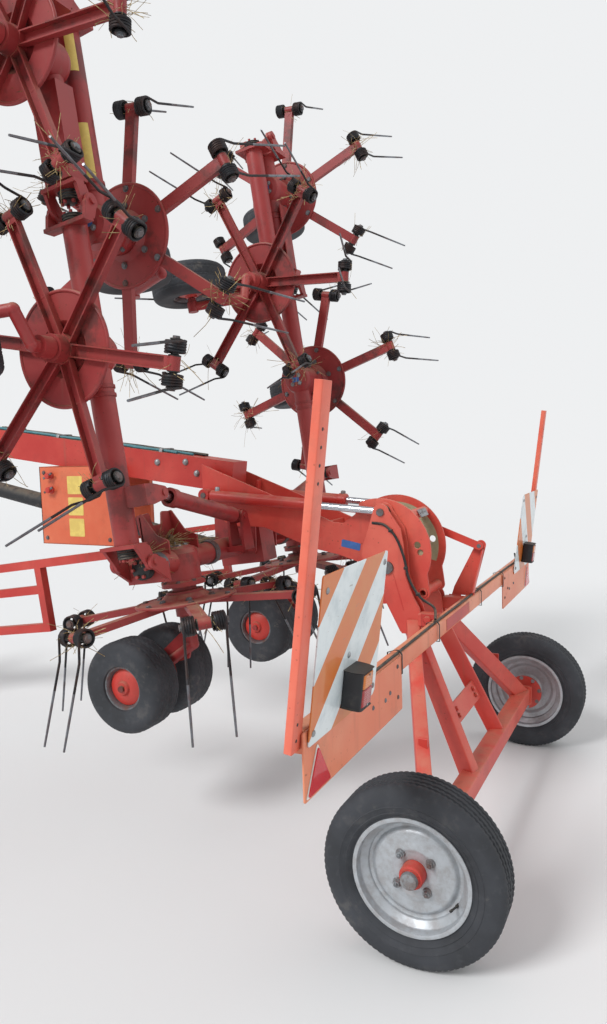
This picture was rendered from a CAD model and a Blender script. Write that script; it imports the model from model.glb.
"""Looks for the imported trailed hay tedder: paint, tyres, spring tines, hoses, lamps, hay and light.

Lengths are metres. A size that is taken from the solids repeats the value in the part's source.
"""

import logging
import math
import random
from dataclasses import dataclass, field
from enum import Enum
from typing import Iterable, Sequence, Union

import bpy
from mathutils import Matrix, Vector


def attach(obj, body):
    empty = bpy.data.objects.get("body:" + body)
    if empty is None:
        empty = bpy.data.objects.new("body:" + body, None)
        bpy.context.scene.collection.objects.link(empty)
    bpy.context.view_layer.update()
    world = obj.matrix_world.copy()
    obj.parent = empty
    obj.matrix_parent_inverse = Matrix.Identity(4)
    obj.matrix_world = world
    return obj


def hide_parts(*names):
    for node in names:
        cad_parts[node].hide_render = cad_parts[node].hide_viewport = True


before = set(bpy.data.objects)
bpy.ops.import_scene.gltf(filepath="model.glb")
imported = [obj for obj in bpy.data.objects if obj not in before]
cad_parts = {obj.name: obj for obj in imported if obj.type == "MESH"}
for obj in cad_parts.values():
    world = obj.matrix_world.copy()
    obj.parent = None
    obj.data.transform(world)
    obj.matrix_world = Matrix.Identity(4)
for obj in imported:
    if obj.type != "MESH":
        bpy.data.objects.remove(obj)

LOG = logging.getLogger("hay_tedder")

Rgb = tuple[float, float, float]
Flat = tuple[float, float]
Point = tuple[float, float, float]
Number = Union[int, float]

# The transport axle lies this far behind the middle of the machine's length
ROW_X = -1.9545


def srgb(code: int) -> Rgb:
    """Linear colour of a screen colour.

    Args:
        code: The colour as 0xRRGGBB.

    Returns:
        Red, green and blue from 0 to 1, linear.
    """
    parts = [((code >> shift) & 255) / 255 for shift in (16, 8, 0)]
    return tuple(c / 12.92 if c <= 0.04045 else ((c + 0.055) / 1.055) ** 2.4 for c in parts)


# Tones of wear and dirt that finishes share
RUST_DARK, RUST_LIGHT, STAIN_RUST = srgb(0x3A221B), srgb(0x8A4A2C), srgb(0x7A4428)
SOOT, DUST, FILM, MUD, SCUFF = srgb(0x35221E), srgb(0xA8947A), srgb(0x8F8370), srgb(0x8A8378), srgb(0x8A8074)
SKY = (0.86, 0.87, 0.88)


class Side(Enum):
    """The two sides of the machine, with the sign of their Y."""

    LEFT = 1
    RIGHT = -1

    @property
    def word(self) -> str:
        """The side as node names spell it."""
        return self.name.lower()

    @property
    def mirror(self) -> Matrix:
        """Matrix that carries a left piece to this side."""
        return Matrix.Diagonal((1, self.value, 1, 1))


def shift(x: float = 0.0, y: float = 0.0, z: float = 0.0) -> Matrix:
    """A translation."""
    return Matrix.Translation((x, y, z))


def turn(degrees: float, axis: str) -> Matrix:
    """A rotation about X, Y or Z."""
    return Matrix.Rotation(math.radians(degrees), 4, axis)


# Turns of a form drawn along local Z, named by where that axis then points
Z_TO_Y, Z_TO_MINUS_Y, Z_TO_X, Z_TO_MINUS_X, Z_DOWN = (
    turn(-90, "X"), turn(90, "X"), turn(90, "Y"), turn(-90, "Y"), turn(180, "X"))
# Stands a sheet drawn in local X and Y up across the machine, growing towards +X
ACROSS = turn(90, "Z") @ turn(90, "X")


# Shader trees


class Signal:
    """A socket of a shader tree. Python arithmetic on values adds Math nodes."""

    def __init__(self, tree: "Tree", socket: bpy.types.NodeSocket) -> None:
        """Wraps one output socket."""
        self.tree = tree
        self.socket = socket

    def _math(self, operation: str, *others: Union["Signal", Number], clamp: bool = False) -> "Signal":
        """One Math node with this value first."""
        inputs = {0: self, **{i + 1: other for i, other in enumerate(others)}}
        return self.tree.node("ShaderNodeMath", {"operation": operation, "use_clamp": clamp}, inputs)

    def __add__(self, other: Union["Signal", Number]) -> "Signal":
        """Sum of two values."""
        return self._math("ADD", other)

    __radd__ = __add__

    def __sub__(self, other: Union["Signal", Number]) -> "Signal":
        """Difference of two values."""
        return self._math("SUBTRACT", other)

    def __rsub__(self, other: Number) -> "Signal":
        """A number less this value."""
        return self.tree.node("ShaderNodeMath", {"operation": "SUBTRACT"}, {0: other, 1: self})

    def __mul__(self, other: Union["Signal", Number]) -> "Signal":
        """Product of two values."""
        return self._math("MULTIPLY", other)

    __rmul__ = __mul__

    def __truediv__(self, other: Union["Signal", Number]) -> "Signal":
        """Quotient of two values."""
        return self._math("DIVIDE", other)

    def clamped(self) -> "Signal":
        """The value held between 0 and 1."""
        return self._math("ADD", 0.0, clamp=True)

    def highest(self, other: "Signal") -> "Signal":
        """The larger of two values."""
        return self._math("MAXIMUM", other)

    def step(self, low: float, high: float) -> "Signal":
        """Smooth mask of this value.

        Args:
            low: Value that gives 0.
            high: Value that gives 1.

        Returns:
            The mask.
        """
        return self.tree.node("ShaderNodeMapRange", {"interpolation_type": "SMOOTHSTEP"},
                              {"Value": self, "From Min": low, "From Max": high})

    def size(self) -> "Signal":
        """The value without its sign."""
        return self._math("ABSOLUTE")

    def wave(self) -> "Signal":
        """Saw from 0 to 1 over each whole number."""
        return self._math("FRACT")

    def part(self, axis: str) -> "Signal":
        """One of X, Y and Z of a vector."""
        return self.tree.node("ShaderNodeSeparateXYZ", {}, {0: self}, axis)

    def scaled(self, x: float, y: float, z: float) -> "Signal":
        """The vector with its parts multiplied."""
        return self.tree.node("ShaderNodeVectorMath", {"operation": "MULTIPLY"}, {0: self, 1: (x, y, z)}, "Vector")

    def dot(self, other: Union["Signal", tuple]) -> "Signal":
        """Dot product of two vectors."""
        return self.tree.node("ShaderNodeVectorMath", {"operation": "DOT_PRODUCT"}, {0: self, 1: other}, "Value")


class Tree:
    """The node tree of one material."""

    def __init__(self, name: str) -> None:
        """Starts an empty material with its shader."""
        self.material = bpy.data.materials.new(name)
        self.material.use_nodes = True
        self.nodes = self.material.node_tree.nodes
        self.links = self.material.node_tree.links
        self.shader = self.nodes["Principled BSDF"]

    def _set(self, socket: bpy.types.NodeSocket, value: object) -> None:
        """Links a signal to a socket, or writes a number, colour or vector on it."""
        if isinstance(value, Signal):
            self.links.new(value.socket, socket)
        elif socket.type == "RGBA" and len(value) == 3:
            socket.default_value = (*value, 1.0)
        else:
            socket.default_value = value

    def node(self, kind: str, settings: dict, inputs: dict, output: Union[int, str] = 0) -> Signal:
        """Adds one node.

        Args:
            kind: The node's type.
            settings: Its own settings, set first; "stops" are a ramp's positions and colours.
            inputs: Values or signals by socket name or index.
            output: The output socket that is wanted.

        Returns:
            The output as a signal.
        """
        made = self.nodes.new(kind)
        for key, value in settings.items():
            if key == "stops":
                ramp = made.color_ramp
                while len(ramp.elements) < len(value):
                    ramp.elements.new(1.0)
                for element, (place, colour) in zip(ramp.elements, value):
                    element.position, element.color = place, (*colour, 1.0)
            else:
                setattr(made, key, value)
        for key, value in inputs.items():
            self._set(made.inputs[key], value)
        return Signal(self, made.outputs[output])

    def place(self) -> Signal:
        """Position on the piece, in metres."""
        return self.node("ShaderNodeTexCoord", {}, {}, "Object")

    def noise(self, where: Signal, scale: float, detail: float = 3.0, rough: float = 0.55) -> Signal:
        """Cloudy value from 0 to 1."""
        return self.node("ShaderNodeTexNoise", {},
                         {"Vector": where, "Scale": scale, "Detail": detail, "Roughness": rough}, 0)

    def cells(self, where: Signal, scale: float) -> Signal:
        """Distance to the nearest point of a scatter."""
        return self.node("ShaderNodeTexVoronoi", {"feature": "F1"}, {"Vector": where, "Scale": scale}, "Distance")

    def mix(self, low: Union[Signal, Rgb], high: Union[Signal, Rgb], share: Union[Signal, float]) -> Signal:
        """Blend of two colours."""
        return self.node("ShaderNodeMix", {"data_type": "RGBA"}, {0: share, 6: low, 7: high}, 2)

    def upward(self) -> Signal:
        """How far the surface faces up."""
        normal = self.node("ShaderNodeNewGeometry", {}, {}, "Normal")
        return normal.part("Z")

    def edges(self, width: float) -> Signal:
        """Mask that is 1 along sharp edges.

        Args:
            width: Reach of the mask from the edge.

        Returns:
            The mask.
        """
        round_normal = self.node("ShaderNodeBevel", {"samples": 3}, {"Radius": width}, "Normal")
        true_normal = self.node("ShaderNodeNewGeometry", {}, {}, "Normal")
        return (1 - round_normal.dot(true_normal)).step(0.01, 0.16)

    def bump(self, height: Signal, depth: float, strength: float = 0.6) -> None:
        """Feeds a height into the shader's normal."""
        normal = self.node("ShaderNodeBump", {}, {"Height": height, "Distance": depth, "Strength": strength})
        self._set(self.shader.inputs["Normal"], normal)

    def surface(self, **sockets: object) -> bpy.types.Material:
        """Sets the shader's sockets.

        Args:
            sockets: Values or signals; an underscore in a name stands for a space.

        Returns:
            The finished material.
        """
        for key, value in sockets.items():
            self._set(self.shader.inputs[key.replace("_", " ")], value)
        return self.material


_MADE: dict[str, bpy.types.Material] = {}


@dataclass(frozen=True)
class Finish:
    """A finish with its name and the record's slot it stands for."""

    name: str
    slot: str

    def material(self) -> bpy.types.Material:
        """The material, made once."""
        if self.name not in _MADE:
            _MADE[self.name] = self.paint(Tree(self.name))
        return _MADE[self.name]

    def paint(self, tree: Tree) -> bpy.types.Material:
        """Builds the node tree."""
        raise NotImplementedError


@dataclass(frozen=True)
class Enamel(Finish):
    """Sprayed enamel that has faded in patches, chipped at its edges and gathered dust."""

    fresh: Rgb
    faded: Rgb
    dust: float = 0.45
    wear: float = 0.5
    gloss: float = 0.42
    grime: float = 0.15

    def paint(self, tree: Tree) -> bpy.types.Material:
        """Fade, streaks, rust in chips and dust on what faces up."""
        where = tree.place()
        broad = tree.noise(where, 2.3, 3)
        patchy = tree.noise(where, 13, 5, 0.62)
        grain = tree.noise(where, 120, 3)
        streaks = tree.noise(where.scaled(26, 26, 2.4), 1.0, 3)
        up = tree.upward()
        fade = (broad * 0.9 + patchy * 0.35 + up * 0.12 - 0.12).step(0.32, 0.86)
        colour = tree.mix(self.fresh, self.faded, fade)
        shade = tuple(c * 0.62 for c in self.fresh)
        colour = tree.mix(colour, shade, streaks.step(0.56, 0.8) * 0.35)
        colour = tree.mix(colour, shade, patchy.step(0.62, 0.8) * 0.3)
        soot = tree.noise(where, 4.2, 6, 0.68)
        dirty = (soot * 0.85 + patchy * 0.2).step(0.53, 0.66) * self.grime
        worn = tree.edges(0.0035) * patchy.step(0.42, 0.62)
        specks = (tree.cells(where, 46) + patchy * 0.28).step(0.27, 0.21) * broad.step(0.4, 0.62)
        scars = tree.noise(where.scaled(9, 34, 34), 1.0, 5, 0.7).step(0.665, 0.69)
        bare = (worn.highest(specks).highest(scars * 0.8) * self.wear * 1.5).clamped()
        rust = tree.mix(RUST_DARK, RUST_LIGHT, grain.step(0.35, 0.65))
        colour = tree.mix(colour, rust, bare)
        colour = tree.mix(colour, SOOT, dirty)
        settled = (up.step(0.15, 0.95) * patchy.step(0.3, 0.62)).highest(streaks.step(0.6, 0.85) * 0.35)
        dusty = settled * self.dust
        colour = tree.mix(colour, DUST, dusty)
        tree.bump(grain * 0.25 - bare * 0.7 + patchy * 0.15, 0.0006)
        return tree.surface(Base_Color=colour,
                            Roughness=(dusty * 0.35 + bare * 0.3 + patchy * 0.16 + self.gloss - 0.08).clamped())


@dataclass(frozen=True)
class Rubber(Finish):
    """Weathered tyre rubber with dry mud in its grooves."""

    mud: float = 0.35

    def paint(self, tree: Tree) -> bpy.types.Material:
        """Grey-black with cracks, scuffs and pale dust."""
        where = tree.place()
        broad = tree.noise(where, 6, 3)
        patchy = tree.noise(where, 34, 5, 0.62)
        grain = tree.noise(where, 260, 2)
        colour = tree.mix(srgb(0x2C2E32), srgb(0x3C3F45), broad.step(0.3, 0.75))
        colour = tree.mix(colour, srgb(0x4C4E52), patchy.step(0.5, 0.8) * 0.5)
        scuffs = tree.noise(where, 9, 6, 0.75).step(0.60, 0.70)
        colour = tree.mix(colour, MUD,
                          (broad.step(0.5, 0.74) * patchy.step(0.42, 0.62) * 0.5).highest(scuffs * 0.5) * self.mud)
        tree.bump(patchy * 0.5 + grain * 0.5, 0.0006)
        return tree.surface(Base_Color=colour, Roughness=(patchy * 0.2 + 0.68).clamped())


@dataclass(frozen=True)
class Steel(Finish):
    """Bare or plated steel with stain and rust."""

    bright: Rgb
    stain: Rgb
    rust: float = 0.3
    rough: float = 0.35
    shine: float = 0.85

    def paint(self, tree: Tree) -> bpy.types.Material:
        """Metal that turns dull and brown in patches."""
        where = tree.place()
        patchy = tree.noise(where, 22, 5, 0.65)
        grain = tree.noise(where, 190, 3)
        mask = (patchy * 0.8 + grain * 0.25).step(0.46, 0.66) * self.rust
        colour = tree.mix(self.bright, self.stain, patchy.step(0.3, 0.7))
        colour = tree.mix(colour, STAIN_RUST, mask)
        tree.bump(grain * 0.6 + mask, 0.0004)
        return tree.surface(Base_Color=colour, Metallic=(self.shine - mask * 0.8).clamped(),
                            Roughness=(mask * 0.45 + patchy * 0.15 + self.rough).clamped())


@dataclass(frozen=True)
class Plastic(Finish):
    """Moulded plastic that has gone dull, such as a lamp case, guard or hose cover."""

    colour: Rgb
    dust: float = 0.3
    rough: float = 0.5

    def paint(self, tree: Tree) -> bpy.types.Material:
        """One colour with scuffs and dust."""
        where = tree.place()
        patchy = tree.noise(where, 28, 4, 0.6)
        grain = tree.noise(where, 300, 2)
        dusty = (tree.upward().step(0.0, 0.9) * patchy.step(0.3, 0.62)).highest(patchy.step(0.58, 0.8)) * self.dust
        colour = tree.mix(self.colour, tuple(min(1.0, c * 1.6 + 0.01) for c in self.colour),
                          patchy.step(0.4, 0.75) * 0.5)
        colour = tree.mix(colour, FILM, dusty)
        tree.bump(grain, 0.0003)
        return tree.surface(Base_Color=colour, Roughness=(dusty * 0.3 + patchy * 0.15 + self.rough).clamped())


@dataclass(frozen=True)
class Lens(Finish):
    """Coloured reflector or lamp lens with its small prisms."""

    colour: Rgb
    pitch: float = 0.006

    def paint(self, tree: Tree) -> bpy.types.Material:
        """Glossy colour broken by rows of prisms."""
        where = tree.place()
        rows = (where.part("Y") / self.pitch).wave()
        lines = (where.part("Z") / self.pitch).wave()
        ridge = rows.step(0.0, 0.5) * rows.step(1.0, 0.5) * lines.step(0.0, 0.5) * lines.step(1.0, 0.5)
        patchy = tree.noise(where, 40, 3)
        colour = tree.mix(self.colour, tuple(c * 0.45 for c in self.colour), ridge * 0.5)
        colour = tree.mix(colour, FILM, patchy.step(0.55, 0.8) * 0.25)
        tree.bump(ridge, 0.0008)
        return tree.surface(Base_Color=colour, Roughness=(patchy * 0.2 + 0.12).clamped(), Coat_Weight=0.6)


@dataclass(frozen=True)
class Striped(Finish):
    """White warning board with slanted orange stripes, scuffed and sun-bleached."""

    corner: float
    pitch: float = 0.282

    def paint(self, tree: Tree) -> bpy.types.Material:
        """Stripes that rise from the outer lower to the inner upper corner."""
        where = tree.place()
        across = (where.part("Y").size() + where.part("Z") * 1.01 - self.corner) / self.pitch
        saw = across.wave()
        stripe = (saw.step(0.0, 0.008) * saw.step(0.5, 0.492)).clamped()
        patchy = tree.noise(where, 17, 4, 0.6)
        orange = tree.mix(srgb(0xD06A1E), srgb(0xCF7A3A), patchy.step(0.35, 0.7))
        white = tree.mix(srgb(0xDCE4E6), srgb(0xC3CED2), patchy.step(0.4, 0.75))
        colour = tree.mix(white, orange, stripe)
        scuffs = tree.noise(where.scaled(60, 18, 60), 1.0, 5, 0.7).step(0.66, 0.7)
        colour = tree.mix(colour, SCUFF, scuffs * 0.6)
        tree.bump(tree.noise(where, 200, 2), 0.0002)
        return tree.surface(Base_Color=colour, Roughness=(patchy * 0.2 + 0.3).clamped(), Coat_Weight=0.3)


@dataclass(frozen=True)
class Straw(Finish):
    """Dry grass stems caught on the machine."""

    def paint(self, tree: Tree) -> bpy.types.Material:
        """Pale straw to brown by stem."""
        where = tree.place()
        patchy = tree.noise(where, 55, 3)
        tone = tree.node("ShaderNodeValToRGB",
                         {"stops": [(0.3, srgb(0x5F4C33)), (0.5, srgb(0x9A8257)), (0.7, srgb(0xC9B68A))]},
                         {0: patchy}, "Color")
        tree.bump(tree.noise(where, 400, 2), 0.0003)
        return tree.surface(Base_Color=tone, Roughness=(patchy * 0.1 + 0.75).clamped())


RED = Enamel("red_enamel", "painted_red", srgb(0xB42C26), srgb(0xCC5044), 0.4, 0.5)
RED_WING = Enamel("wing_enamel", "painted_red", srgb(0x962B2C), srgb(0xA8433F), 0.42, 0.7, 0.46, 0.55)
RED_ROTOR = Enamel("rotor_enamel", "painted_red", srgb(0x8A2829), srgb(0xA03E3A), 0.42, 0.9, 0.48, 0.72)
RED_CHASSIS = Enamel("chassis_enamel", "painted_red", srgb(0xC83E34), srgb(0xDC6A58), 0.3, 0.4)
RED_HUB = Enamel("hub_enamel", "painted_red", srgb(0xC0322A), srgb(0xCB5044), 0.3, 0.5)
ORANGE_COVER = Enamel("cover_enamel", "painted_red", srgb(0xD2603E), srgb(0xE0805C), 0.3, 0.3)
PEACH = Enamel("bar_enamel", "painted_orange", srgb(0xDC7450), srgb(0xE69A78), 0.25, 0.35)
POST_RED = Enamel("post_enamel", "painted_red", srgb(0xDE5E48), srgb(0xE8846C), 0.15, 0.25)
TYRE = Rubber("road_tyre_rubber", "tyre_rubber", 0.3)
SUPPORT_TYRE = Rubber("support_tyre_rubber", "tyre_rubber", 0.45)
SILVER = Steel("silver_rim", "rim_silver", srgb(0xB9BEC3), srgb(0xA6AAAD), 0.14, 0.36, 0.45)
SPRING = Steel("spring_wire", "spring_steel", srgb(0x2A2C30), srgb(0x1C1D20), 0.14, 0.42, 0.5)
TIP_STEEL = Steel("scoured_tip", "spring_steel", srgb(0x80848A), srgb(0x5C6066), 0.25, 0.3, 0.9)
ZINC = Steel("zinc_fixings", "bare_steel", srgb(0xA8ABAE), srgb(0x85888A), 0.35, 0.4, 0.8)
DULL_STEEL = Steel("dull_steel", "bare_steel", srgb(0x7C8084), srgb(0x5F6265), 0.5, 0.45, 0.7)
CHROME = Steel("chrome_rod", "bright_steel", srgb(0xD6DADF), srgb(0xC2C8D0), 0.05, 0.14, 1.0)
GUARD_BLACK = Plastic("guard_plastic", "painted_dark", srgb(0x202124), 0.45, 0.55)
GREASY = Plastic("greasy_black", "painted_dark", srgb(0x17181A), 0.5, 0.4)
LAMP_CASE = Plastic("lamp_case_plastic", "lamp", srgb(0x1D1E22), 0.15, 0.45)
HOSE_TEAL = Plastic("hose_cover_teal", "painted_dark", srgb(0x3E7C86), 0.3, 0.5)
HOSE_BLACK = Plastic("hose_cover_black", "painted_dark", srgb(0x1B1C1E), 0.4, 0.5)
BLUE_SPOT = Plastic("blue_plate", "painted_dark", srgb(0x3A66A8), 0.2, 0.45)
FADED = Plastic("bleached_inner_face", "painted_red", srgb(0x9C9678), 0.35, 0.6)
YELLOW_PLATE = Plastic("yellow_plate", "painted_orange", srgb(0xD8BC64), 0.4, 0.5)
LENS_RED = Lens("red_lens", "lamp", srgb(0xA8141C))
LENS_AMBER = Lens("amber_lens", "lamp", srgb(0xD8761A))
REFLECTOR = Lens("red_reflector", "lamp", srgb(0xD80E22), 0.003)
STRAW = Straw("dry_straw", "painted_dark")
BOARD = Striped("striped_board", "board_white", 2.2915)
BOARD_WHITE = Plastic("reflector_rim", "board_white", srgb(0xDCDCD6), 0.25, 0.4)


# Pieces

# Faces that meet at less than this many degrees are shaded as one
SMOOTH_BELOW = 38.0


def turned_row(radii: Sequence[float], height: float) -> list[Point]:
    """Points round the local Z axis, one for each radius."""
    count = len(radii)
    return [(r * math.cos(2 * math.pi * i / count), r * math.sin(2 * math.pi * i / count), height)
            for i, r in enumerate(radii)]


class Piece:
    """Collects corners and faces, then becomes one object that rides on a body."""

    def __init__(self, name: str) -> None:
        """Starts an empty piece."""
        self.name = name
        self.corners: list[Vector] = []
        self.faces: list[tuple[int, ...]] = []
        self.marks: list[int] = []
        self.finishes: list[Finish] = []

    def _mark(self, finish: Finish) -> int:
        """Index of a finish among the piece's own."""
        if finish not in self.finishes:
            self.finishes.append(finish)
        return self.finishes.index(finish)

    def add(self, corners: Sequence[Sequence[float]], faces: Iterable[Sequence[int]], finish: Finish,
            place: Matrix) -> None:
        """Adds corners and faces.

        Args:
            corners: Points of the form.
            faces: Corner numbers of each face, counter-clockwise from outside.
            finish: The finish of the faces.
            place: Where the form goes; a mirrored place turns its faces over.
        """
        start = len(self.corners)
        flip = place.to_3x3().determinant() < 0
        mark = self._mark(finish)
        self.corners += [place @ Vector(p) for p in corners]
        for face in faces:
            numbers = [start + i for i in face]
            self.faces.append(tuple(reversed(numbers)) if flip else tuple(numbers))
            self.marks.append(mark)

    def grid(self, rows: Sequence[Sequence[Sequence[float]]], finish: Finish, place: Matrix, along: bool = False,
             caps: bool = False) -> None:
        """Adds a skin over rows of points, each row closed on itself.

        Args:
            rows: Rows with as many points each.
            finish: The finish of the faces.
            place: Where the form goes.
            along: Whether the last row joins the first.
            caps: Whether the first and last rows are closed by a face.
        """
        width = len(rows[0])
        faces = []
        for i in range(len(rows) if along else len(rows) - 1):
            low, high = i * width, ((i + 1) % len(rows)) * width
            for j in range(width):
                k = (j + 1) % width
                faces.append((low + j, low + k, high + k, high + j))
        if caps:
            faces.append(tuple(reversed(range(width))))
            faces.append(tuple(range((len(rows) - 1) * width, len(rows) * width)))
        self.add([p for row in rows for p in row], faces, finish, place)

    def lathe(self, outline: Sequence[Flat], finish: Finish, place: Matrix, steps: int = 32,
              closed: bool = False) -> None:
        """Turns an outline of radius and height about the local Z axis.

        Args:
            outline: Pairs of radius and height, from the bottom up along the outside.
            finish: The finish of the faces.
            place: Where the form goes.
            steps: Facets round the axis.
            closed: Whether the outline closes on itself, as in a ring.
        """
        rows = [turned_row([radius] * steps, height) for radius, height in outline]
        self.grid(rows, finish, place, along=closed, caps=not closed)

    def tube(self, path: Sequence[Vector], radius: Union[float, Sequence[float]], finish: Finish,
             place: Matrix, sides: int = 8) -> None:
        """Sweeps a round section along a path.

        Args:
            path: Points that the middle follows.
            radius: Radius, or one for each point.
            finish: The finish of the faces.
            place: Where the form goes.
            sides: Facets round the section.
        """
        points = [Vector(p) for p in path]
        radii = radius if isinstance(radius, (list, tuple)) else [radius] * len(points)
        ahead = (points[1] - points[0]).normalized()
        across = ahead.orthogonal().normalized()
        rows = []
        for i, point in enumerate(points):
            onward = (points[min(i + 1, len(points) - 1)] - points[max(i - 1, 0)]).normalized()
            across = (across - onward * across.dot(onward)).normalized()
            other = onward.cross(across)
            rows.append([tuple(point + (across * math.cos(a) + other * math.sin(a)) * radii[i])
                         for a in (2 * math.pi * j / sides for j in range(sides))])
        self.grid(rows, finish, place, caps=True)

    def slab(self, outline: Sequence[Flat], depth: float, finish: Finish, place: Matrix, bevel: float = 0.0) -> None:
        """Extrudes an outline along local Z with eased edges.

        Args:
            outline: Corners counter-clockwise in local X and Y.
            depth: Thickness.
            finish: The finish of the faces.
            place: Where the form goes.
            bevel: Width of the eased edge.
        """
        inner = []
        for i, p in enumerate(outline):
            before, after = Vector(outline[i - 1]), Vector(outline[(i + 1) % len(outline)])
            edge = (after - before).normalized()
            inner.append(Vector(p) + Vector((-edge.y, edge.x)) * bevel)
        levels = [(outline, 0.0), (outline, depth)]
        if bevel:
            levels = [(inner, 0.0), (outline, bevel), (outline, depth - bevel), (inner, depth)]
        rows = [[(p[0], p[1], z) for p in ring] for ring, z in levels]
        self.grid(rows, finish, place, caps=True)

    def plate(self, outlines: Sequence[Sequence[Flat]], depth: float, finish: Finish, place: Matrix,
              bevel: float = 0.0012) -> None:
        """Cuts a sheet with holes along local Z, its edges eased.

        Args:
            outlines: The outer edge and the holes in local X and Y.
            depth: Thickness.
            finish: The finish of the faces.
            place: Where the sheet goes, from local Z = 0 up.
            bevel: Width of the eased edge.
        """
        curve = bpy.data.curves.new("outline", "CURVE")
        curve.dimensions, curve.fill_mode = "2D", "BOTH"
        curve.extrude, curve.bevel_depth, curve.bevel_resolution, curve.offset = depth / 2 - bevel, bevel, 1, -bevel
        for outline in outlines:
            spline = curve.splines.new("POLY")
            spline.points.add(len(outline) - 1)
            for point, flat in zip(spline.points, outline):
                point.co = (flat[0], flat[1], 0.0, 1.0)
            spline.use_cyclic_u = True
        item = bpy.data.objects.new("outline", curve)
        mesh = bpy.data.meshes.new_from_object(item)
        self.add([v.co for v in mesh.vertices], [tuple(f.vertices) for f in mesh.polygons], finish,
                 place @ shift(z=depth / 2))
        bpy.data.objects.remove(item)
        bpy.data.curves.remove(curve)
        bpy.data.meshes.remove(mesh)

    def bar(self, start: Sequence[float], end: Sequence[float], size: Flat, finish: Finish, place: Matrix,
            corner: float = 0.006) -> None:
        """Adds a square tube with rounded edges.

        Args:
            start: Middle of its first end.
            end: Middle of its last end.
            size: Its depth in the upright plane and its width across.
            finish: The finish of the faces.
            place: The frame of the two points.
            corner: Radius of the long edges.
        """
        p, v = Vector(start), Vector(end) - Vector(start)
        a, b = size[0] / 2, size[1] / 2
        along = shift(*p) @ Matrix.Rotation(math.atan2(v.y, v.x), 4,
                                            "Z") @ Matrix.Rotation(math.acos(v.z / v.length), 4, "Y")
        self.slab(rectangle(-a, -b, a, b, corner), v.length, finish, place @ along, 0.001)

    def pin(self, x: float, z: float, d: float, low: float, high: float, finish: Finish, place: Matrix,
            bore: float = 0.0) -> None:
        """Adds a round pin or tube that lies across the machine.

        Args:
            x: Place along the machine.
            z: Height.
            d: Diameter.
            low: Y of one end.
            high: Y of the other end.
            finish: The finish of the faces.
            place: The machine's frame.
            bore: Diameter of the hole along it.
        """
        r, e, hole = d / 2, min(0.0015, d / 12), bore / 2
        length = high - low
        outline = [(r - e, 0.0), (r, e), (r, length - e), (r - e, length)]
        if bore:
            outline = [(hole, 0.0), *outline, (hole, length)]
        self.lathe(outline, finish, place @ shift(x, high, z) @ Z_TO_MINUS_Y, 28, closed=bore > 0)

    def box(self, low: Sequence[float], high: Sequence[float], finish: Finish, place: Matrix,
            bevel: float = 0.0) -> None:
        """Adds a block between two corners."""
        outline = [(low[0], low[1]), (high[0], low[1]), (high[0], high[1]), (low[0], high[1])]
        self.slab(outline, high[2] - low[2], finish, place @ shift(z=low[2]), bevel)

    def hexagon(self, across: float, height: float, finish: Finish, place: Matrix) -> None:
        """Adds a bolt head or nut that stands on local Z = 0, with its chamfer and washer."""
        r = across / math.sqrt(3)
        ring = [(r * math.cos(math.radians(60 * i)), r * math.sin(math.radians(60 * i))) for i in range(6)]
        small = [(x * 0.86, y * 0.86) for x, y in ring]
        rows = [[(x, y, z) for x, y in points] for points, z in ((ring, 0.0), (ring, height * 0.82), (small, height))]
        self.grid(rows, finish, place, caps=True)
        self.lathe([(r * 1.25, -0.001), (r * 1.25, height * 0.18), (r * 0.6, height * 0.18)], finish, place, 16)

    def finish(self, body: str, replaces: Sequence[str] = ()) -> bpy.types.Object:
        """Makes the object.

        Args:
            body: The body that the piece rides on.
            replaces: The nodes that the piece stands for.

        Returns:
            The object.
        """
        mesh = bpy.data.meshes.new(self.name)
        mesh.from_pydata([tuple(p) for p in self.corners], [], self.faces)
        mesh.polygons.foreach_set("material_index", self.marks)
        mesh.polygons.foreach_set("use_smooth", [True] * len(self.faces))
        mesh.set_sharp_from_angle(angle=math.radians(SMOOTH_BELOW))
        for finish in self.finishes:
            mesh.materials.append(finish.material())
        mesh.update()
        made = bpy.data.objects.new(self.name, mesh)
        bpy.context.scene.collection.objects.link(made)
        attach(made, body)
        if replaces:
            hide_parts(*replaces)
        LOG.info("%s: %d faces on %s", self.name, len(self.faces), body)
        return made


def circle(x: float, y: float, d: float, count: int = 24) -> list[Flat]:
    """Outline of a round hole or disc."""
    return [(x + d / 2 * math.cos(2 * math.pi * i / count), y + d / 2 * math.sin(2 * math.pi * i / count))
            for i in range(count)]


def arc(x: float, y: float, r: float, start: float, end: float, count: int = 24) -> list[Flat]:
    """Points on a circle between two angles in degrees."""
    return [(x + r * math.cos(math.radians(start + (end - start) * i / count)),
             y + r * math.sin(math.radians(start + (end - start) * i / count))) for i in range(count + 1)]


def eased(outline: Sequence[Flat], radius: float, steps: int = 3) -> list[Flat]:
    """Rounds the corners of a closed outline.

    Args:
        outline: The corners.
        radius: How far from each corner the rounding starts, at most half an edge.
        steps: New edges at each corner.

    Returns:
        The rounded outline.
    """
    count, points = len(outline), []
    for i in range(count):
        p, a, b = Vector(outline[i]), Vector(outline[i - 1]), Vector(outline[(i + 1) % count])
        p0 = p + (a - p) * min(0.5, radius / max((a - p).length, 1e-6))
        p2 = p + (b - p) * min(0.5, radius / max((b - p).length, 1e-6))
        for k in range(steps + 1):
            t = k / steps
            points.append(tuple(p0 * (1 - t) ** 2 + p * 2 * t * (1 - t) + p2 * t * t))
    return points


def rectangle(x0: float, y0: float, x1: float, y1: float, corner: float) -> list[Flat]:
    """Outline between two opposite corners, with its corners rounded."""
    return eased([(x0, y0), (x1, y0), (x1, y1), (x0, y1)], corner)


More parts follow.
